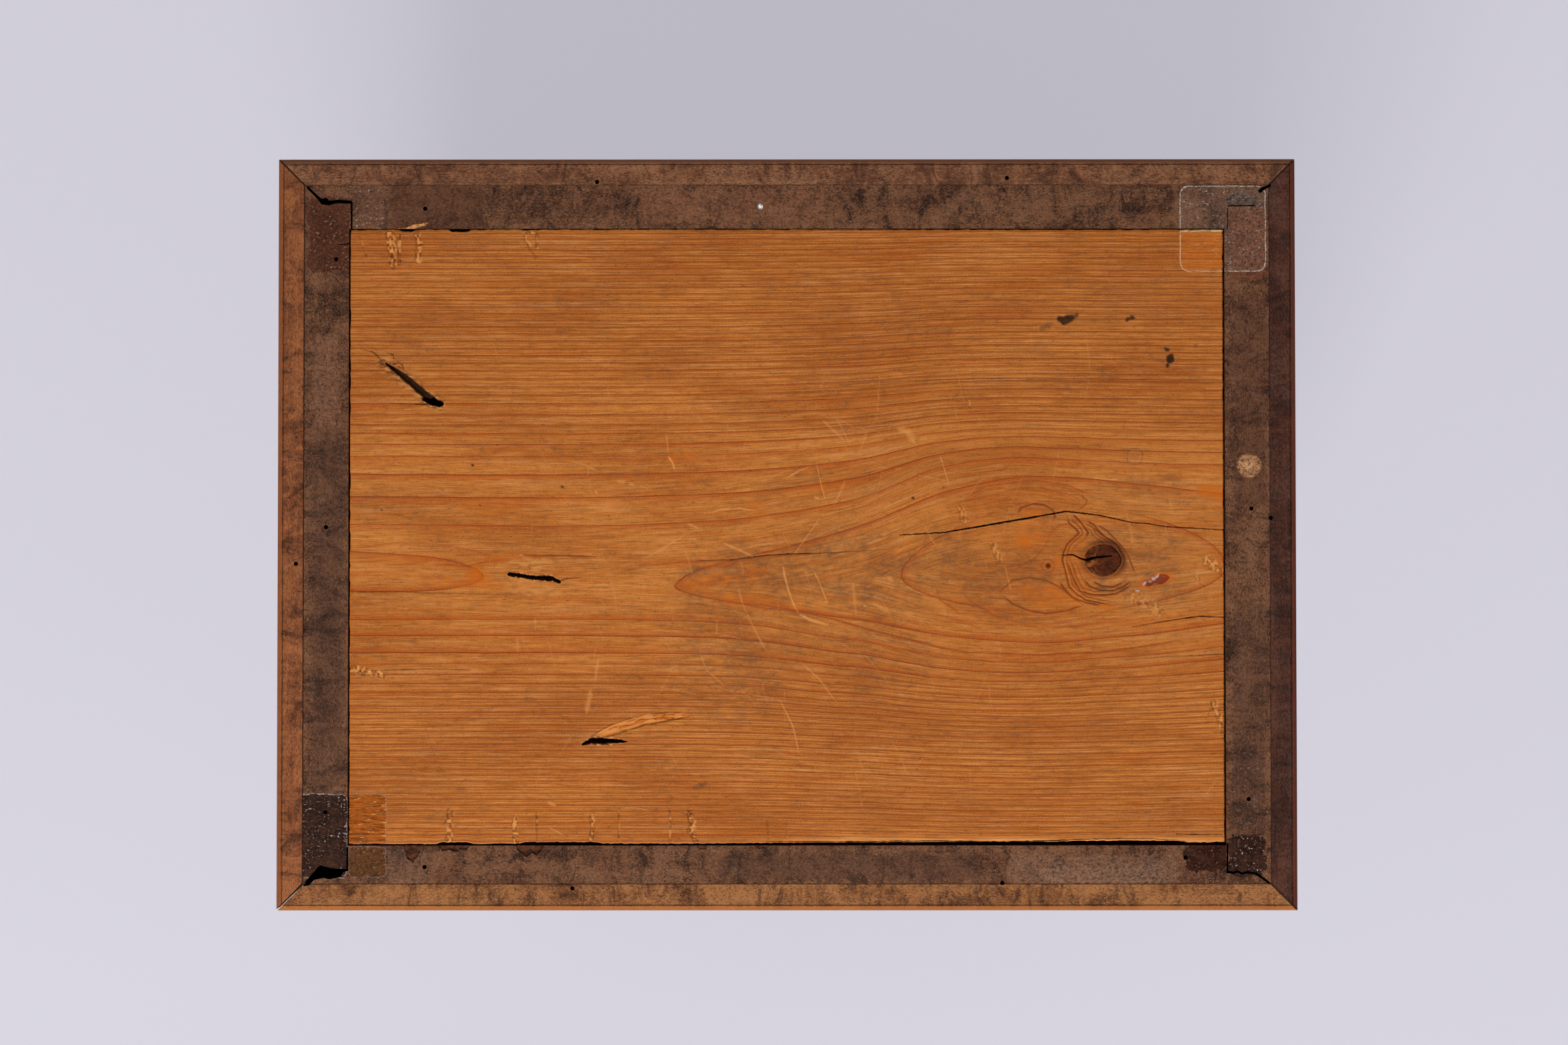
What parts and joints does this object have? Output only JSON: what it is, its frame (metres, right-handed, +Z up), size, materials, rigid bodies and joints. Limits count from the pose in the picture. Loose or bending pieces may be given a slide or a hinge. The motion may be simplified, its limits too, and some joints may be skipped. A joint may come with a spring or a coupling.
{
  "type": "wooden box",
  "caption": "Rectangular walnut box for papers and keepsakes, with a hinged lid, mitred mouldings, a box lock and an inset pine bottom.",
  "frame": {"origin": "middle of the underside, where the box stands", "axes": "+Z up, -Y the front with the keyhole, X along the length; the hinges are at +Y"},
  "size_m": [0.305, 0.225, 0.132],
  "materials": {
    "walnut_boards": "satin",
    "walnut_moulding": "satin",
    "pine_panel": "bare",
    "aged_brass": "aged",
    "hinge_pin_steel": "dull",
    "brass_screws": "aged"
  },
  "bodies": {
    "case": {"front_board": "walnut_boards", "back_board": "walnut_boards", "left_end_board": "walnut_boards", "right_end_board": "walnut_boards", "base_moulding_front": "walnut_moulding", "base_moulding_right": "walnut_moulding", "base_moulding_back": "walnut_moulding", "base_moulding_left": "walnut_moulding", "bottom_panel": "pine_panel", "left_hinge_lower_leaf": "aged_brass", "right_hinge_lower_leaf": "aged_brass", "lock_case": "aged_brass", "key_escutcheon": "aged_brass", "left_hinge_pin": "hinge_pin_steel", "right_hinge_pin": "hinge_pin_steel", "hinge_lower_screws": "brass_screws", "lock_screws": "brass_screws"},
    "lid": {"lid_front_board": "walnut_boards", "lid_back_board": "walnut_boards", "lid_left_end_board": "walnut_boards", "lid_right_end_board": "walnut_boards", "lid_top": "walnut_boards", "left_hinge_upper_leaf": "aged_brass", "right_hinge_upper_leaf": "aged_brass", "hinge_upper_screws": "brass_screws", "lid_link_plate": "aged_brass", "link_plate_screws": "brass_screws", "lid_moulding_front": "walnut_moulding", "lid_moulding_right": "walnut_moulding", "lid_moulding_back": "walnut_moulding", "lid_moulding_left": "walnut_moulding"},
    "bolt": {"lock_bolt": "aged_brass"}
  },
  "joints": [
    {"name": "lid_hinge", "type": "hinge", "parent": "case", "child": "lid", "pos_m": [0, 0.1015, 0.09615], "axis": [-1, 0, 0], "range_deg": [0, 100]},
    {"name": "lock_bolt_slide", "type": "slide", "parent": "case", "child": "bolt", "axis": [1, 0, 0], "range_m": [0, 0.0036]}
  ]
}
